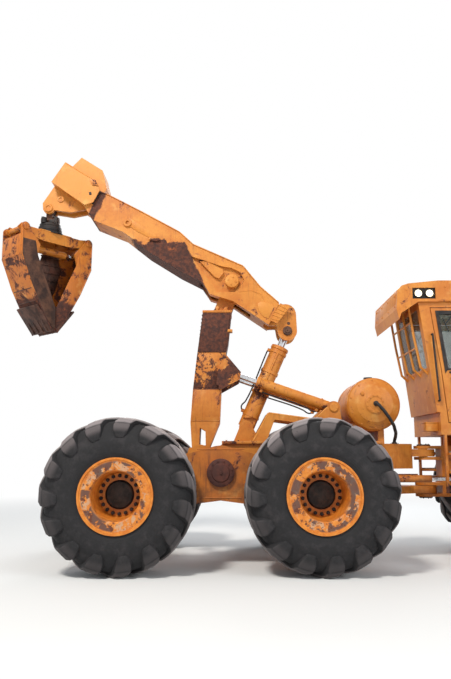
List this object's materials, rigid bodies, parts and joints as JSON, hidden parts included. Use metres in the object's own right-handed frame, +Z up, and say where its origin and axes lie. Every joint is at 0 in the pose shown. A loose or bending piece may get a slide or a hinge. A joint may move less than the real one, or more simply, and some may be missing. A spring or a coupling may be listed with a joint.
{
  "type": "grapple skidder",
  "caption": "Articulated forestry skidder on bogies, with a mast, boom, hanging rotator grapple, cab and front blade.",
  "frame": {"origin": "on the ground at the middle of the machine's overall box", "axes": "+X forward, +Y to the machine's left, +Z up"},
  "size_m": [9.2306, 3.225, 5.66],
  "materials": {
    "yellow_paint": "faded machine yellow, chipped",
    "worn_paint": "machine yellow worn to brown rust",
    "dirty_paint": "yellow under dirt and oil",
    "rim_paint": "orange yellow with worn patches",
    "tyre_rubber": "dusty",
    "hose_rubber": "satin",
    "engine_iron": "oily",
    "black_steel": "oily black",
    "worn_steel": "rusty, greased",
    "exhaust_steel": "heat rusted",
    "chrome_rod": "polished",
    "window_glass": "tinted",
    "lamp_glass": "lit lamp",
    "seat_fabric": "worn",
    "cab_plastic": "dusty"
  },
  "bodies": {
    "rear_chassis": {"rear_frame": "yellow_paint", "rear_axle": "dirty_paint", "bogie_right": "dirty_paint", "bogie_left": "dirty_paint", "tank": "yellow_paint", "tank_hose": "hose_rubber"},
    "wheel_rr": {"tyre_rr": "tyre_rubber", "rim_rr": "rim_paint"},
    "wheel_rl": {"tyre_rl": "tyre_rubber", "rim_rl": "rim_paint"},
    "wheel_mr": {"tyre_mr": "tyre_rubber", "rim_mr": "rim_paint"},
    "wheel_ml": {"tyre_ml": "tyre_rubber", "rim_ml": "rim_paint"},
    "wheel_fr": {"tyre_fr": "tyre_rubber", "rim_fr": "rim_paint"},
    "wheel_fl": {"tyre_fl": "tyre_rubber", "rim_fl": "rim_paint"},
    "front_chassis": {"front_frame": "yellow_paint", "front_axle": "dirty_paint", "engine": "engine_iron", "hood": "yellow_paint", "grille": "black_steel", "exhaust": "exhaust_steel", "cab_shell": "yellow_paint", "cab_roof": "yellow_paint", "cab_glass": "window_glass", "roof_lamps": "lamp_glass", "seat": "seat_fabric", "console": "cab_plastic", "steps": "yellow_paint"},
    "hood_door_r": {"hood_door_right": "yellow_paint"},
    "hood_door_l": {"hood_door_left": "yellow_paint"},
    "cab_door_r": {"door_right": "yellow_paint", "door_glass_right": "window_glass"},
    "cab_door_l": {"door_left": "yellow_paint", "door_glass_left": "window_glass"},
    "mast_body": {"mast": "worn_paint"},
    "boom_body": {"boom": "worn_paint", "boom_head": "yellow_paint"},
    "link_body": {"hang_link": "worn_steel"},
    "swivel_body": {"swivel_block": "black_steel"},
    "rotator_body": {"rotator": "black_steel", "grapple_head": "worn_paint"},
    "tong_l": {"tong_left": "worn_paint"},
    "tong_r": {"tong_right": "worn_paint"},
    "grab_cyl": {"grab_barrel": "yellow_paint"},
    "grab_piston": {"grab_rod": "chrome_rod"},
    "tilt_cyl": {"tilt_barrels": "yellow_paint"},
    "tilt_piston": {"tilt_rods": "chrome_rod"},
    "boom_cyl": {"boom_barrel": "yellow_paint"},
    "boom_piston": {"boom_rod": "chrome_rod"},
    "steer_cyl_r": {"steer_barrel_right": "yellow_paint"},
    "steer_piston_r": {"steer_rod_right": "chrome_rod"},
    "steer_cyl_l": {"steer_barrel_left": "yellow_paint"},
    "steer_piston_l": {"steer_rod_left": "chrome_rod"},
    "blade_body": {"blade": "yellow_paint"},
    "blade_cyl": {"blade_barrels": "yellow_paint"},
    "blade_piston": {"blade_rods": "chrome_rod"}
  },
  "joints": [
    {"name": "roll_rr", "type": "hinge", "parent": "rear_chassis", "child": "wheel_rr", "pos_m": [-2.7047, -1.225, 0.915], "axis": [0, 1, 0], "continuous": true},
    {"name": "roll_rl", "type": "hinge", "parent": "rear_chassis", "child": "wheel_rl", "pos_m": [-2.7047, 1.225, 0.915], "axis": [0, 1, 0], "continuous": true},
    {"name": "roll_mr", "type": "hinge", "parent": "rear_chassis", "child": "wheel_mr", "pos_m": [-0.30469, -1.225, 0.915], "axis": [0, 1, 0], "continuous": true},
    {"name": "roll_ml", "type": "hinge", "parent": "rear_chassis", "child": "wheel_ml", "pos_m": [-0.30469, 1.225, 0.915], "axis": [0, 1, 0], "continuous": true},
    {"name": "roll_fr", "type": "hinge", "parent": "front_chassis", "child": "wheel_fr", "pos_m": [2.74531, -1.225, 0.915], "axis": [0, 1, 0], "continuous": true},
    {"name": "roll_fl", "type": "hinge", "parent": "front_chassis", "child": "wheel_fl", "pos_m": [2.74531, 1.225, 0.915], "axis": [0, 1, 0], "continuous": true},
    {"name": "steering", "type": "hinge", "parent": "rear_chassis", "child": "front_chassis", "pos_m": [1.2953, 0, 1.165], "axis": [0, 0, 1], "range_deg": [-38, 38]},
    {"name": "mast_tilt", "type": "hinge", "parent": "rear_chassis", "child": "mast_body", "pos_m": [-1.7897, 0, 1.4], "axis": [0, 1, 0], "range_deg": [-30, 8]},
    {"name": "boom_lift", "type": "hinge", "parent": "mast_body", "child": "boom_body", "pos_m": [-1.35469, 0, 3.79], "axis": [0, 1, 0], "range_deg": [-32, 3]},
    {"name": "hang_fore", "type": "hinge", "parent": "boom_body", "child": "link_body", "pos_m": [-4.0247, 0, 4.925], "axis": [0, -1, 0], "range_deg": [-70, 8]},
    {"name": "hang_side", "type": "hinge", "parent": "link_body", "child": "swivel_body", "pos_m": [-4.0247, 0, 4.77], "axis": [1, 0, 0], "range_deg": [-12, 12]},
    {"name": "rotator_turn", "type": "hinge", "parent": "swivel_body", "child": "rotator_body", "pos_m": [-4.0247, 0, 4.65], "axis": [0, 0, 1], "continuous": true},
    {"name": "tongs", "type": "hinge", "parent": "rotator_body", "child": "tong_l", "pos_m": [-4.38603, -0.4013, 4.5], "axis": [-0.7431, 0.6691, 0], "range_deg": [0, 62]},
    {"name": "tong_r_open", "type": "hinge", "parent": "rotator_body", "child": "tong_r", "pos_m": [-3.66336, 0.4013, 4.5], "axis": [-0.7431, 0.6691, 0], "range_deg": [-62, 0]},
    {"name": "grab_cyl_turn", "type": "hinge", "parent": "tong_l", "child": "grab_cyl", "pos_m": [-4.28566, -0.28983, 4.3], "axis": [-0.7431, 0.6691, 0], "range_deg": [-62, 0]},
    {"name": "grab_stroke", "type": "slide", "parent": "grab_cyl", "child": "grab_piston", "axis": [0.6691, 0.7431, 0], "range_m": [0, 0.53]},
    {"name": "tilt_cyl_turn", "type": "hinge", "parent": "rear_chassis", "child": "tilt_cyl", "pos_m": [0.0153, 0, 2.01], "axis": [0, 1, 0], "range_deg": [-3, 1]},
    {"name": "tilt_stroke", "type": "slide", "parent": "tilt_cyl", "child": "tilt_piston", "axis": [-0.9444, 0, 0.3288], "range_m": [-0.17, 0.62]},
    {"name": "boom_cyl_turn", "type": "hinge", "parent": "rear_chassis", "child": "boom_cyl", "pos_m": [-1.1647, 0, 1.76], "axis": [0, 1, 0], "range_deg": [-39, 11]},
    {"name": "boom_stroke", "type": "slide", "parent": "boom_cyl", "child": "boom_piston", "axis": [0.4014, 0, 0.9159], "range_m": [-0.06, 0.58]},
    {"name": "steer_cyl_turn_r", "type": "hinge", "parent": "rear_chassis", "child": "steer_cyl_r", "pos_m": [0.7253, -0.33, 1.07], "axis": [0, 0, 1], "range_deg": [-17, 17]},
    {"name": "steer_stroke_r", "type": "slide", "parent": "steer_cyl_r", "child": "steer_piston_r", "axis": [1, 0, 0], "range_m": [-0.22, 0.22]},
    {"name": "steer_cyl_turn_l", "type": "hinge", "parent": "rear_chassis", "child": "steer_cyl_l", "pos_m": [0.7253, 0.33, 1.07], "axis": [0, 0, 1], "range_deg": [-17, 17]},
    {"name": "steer_stroke_l", "type": "slide", "parent": "steer_cyl_l", "child": "steer_piston_l", "axis": [1, 0, 0], "range_m": [-0.22, 0.22]},
    {"name": "blade_lift", "type": "hinge", "parent": "front_chassis", "child": "blade_body", "pos_m": [3.64531, 0, 0.76], "axis": [0, 1, 0], "range_deg": [-8, 31]},
    {"name": "blade_cyl_turn", "type": "hinge", "parent": "front_chassis", "child": "blade_cyl", "pos_m": [3.82531, 0, 1.39], "axis": [0, 1, 0], "range_deg": [-5, 19]},
    {"name": "blade_stroke", "type": "slide", "parent": "blade_cyl", "child": "blade_piston", "axis": [0.6741, 0, -0.7386], "range_m": [-0.08, 0.29]},
    {"name": "cab_door_right_swing", "type": "hinge", "parent": "front_chassis", "child": "cab_door_r", "pos_m": [2.4003, -0.656, 2.5], "axis": [0, 0, 1], "range_deg": [0, 80]},
    {"name": "cab_door_left_swing", "type": "hinge", "parent": "front_chassis", "child": "cab_door_l", "pos_m": [2.4003, 0.656, 2.5], "axis": [0, 0, -1], "range_deg": [0, 80]},
    {"name": "hood_door_right_lift", "type": "hinge", "parent": "front_chassis", "child": "hood_door_r", "pos_m": [3.34531, -0.536, 2.2], "axis": [-1, 0, 0], "range_deg": [0, 95]},
    {"name": "hood_door_left_lift", "type": "hinge", "parent": "front_chassis", "child": "hood_door_l", "pos_m": [3.34531, 0.536, 2.2], "axis": [1, 0, 0], "range_deg": [0, 95]}
  ],
  "couplings": [
    {"joint": "tong_r_open", "follows": "tongs", "ratio": -1},
    {"joint": "grab_cyl_turn", "follows": "tongs", "ratio": -1},
    {"joint": "grab_stroke", "follows": "tongs", "m_per_rad": 0.473},
    {"joint": "tilt_cyl_turn", "follows": "mast_tilt", "ratio": 0.09},
    {"joint": "tilt_stroke", "follows": "mast_tilt", "m_per_rad": -1.147},
    {"joint": "boom_cyl_turn", "follows": "mast_tilt", "ratio": 1.28},
    {"joint": "boom_stroke", "follows": "boom_lift", "m_per_rad": -1.02},
    {"joint": "steer_cyl_turn_r", "follows": "steering", "ratio": 0.405},
    {"joint": "steer_stroke_r", "follows": "steering", "m_per_rad": 0.324},
    {"joint": "steer_cyl_turn_l", "follows": "steering", "ratio": 0.405},
    {"joint": "steer_stroke_l", "follows": "steering", "m_per_rad": -0.324},
    {"joint": "blade_cyl_turn", "follows": "blade_lift", "ratio": 0.58},
    {"joint": "blade_stroke", "follows": "blade_lift", "m_per_rad": 0.51}
  ]
}
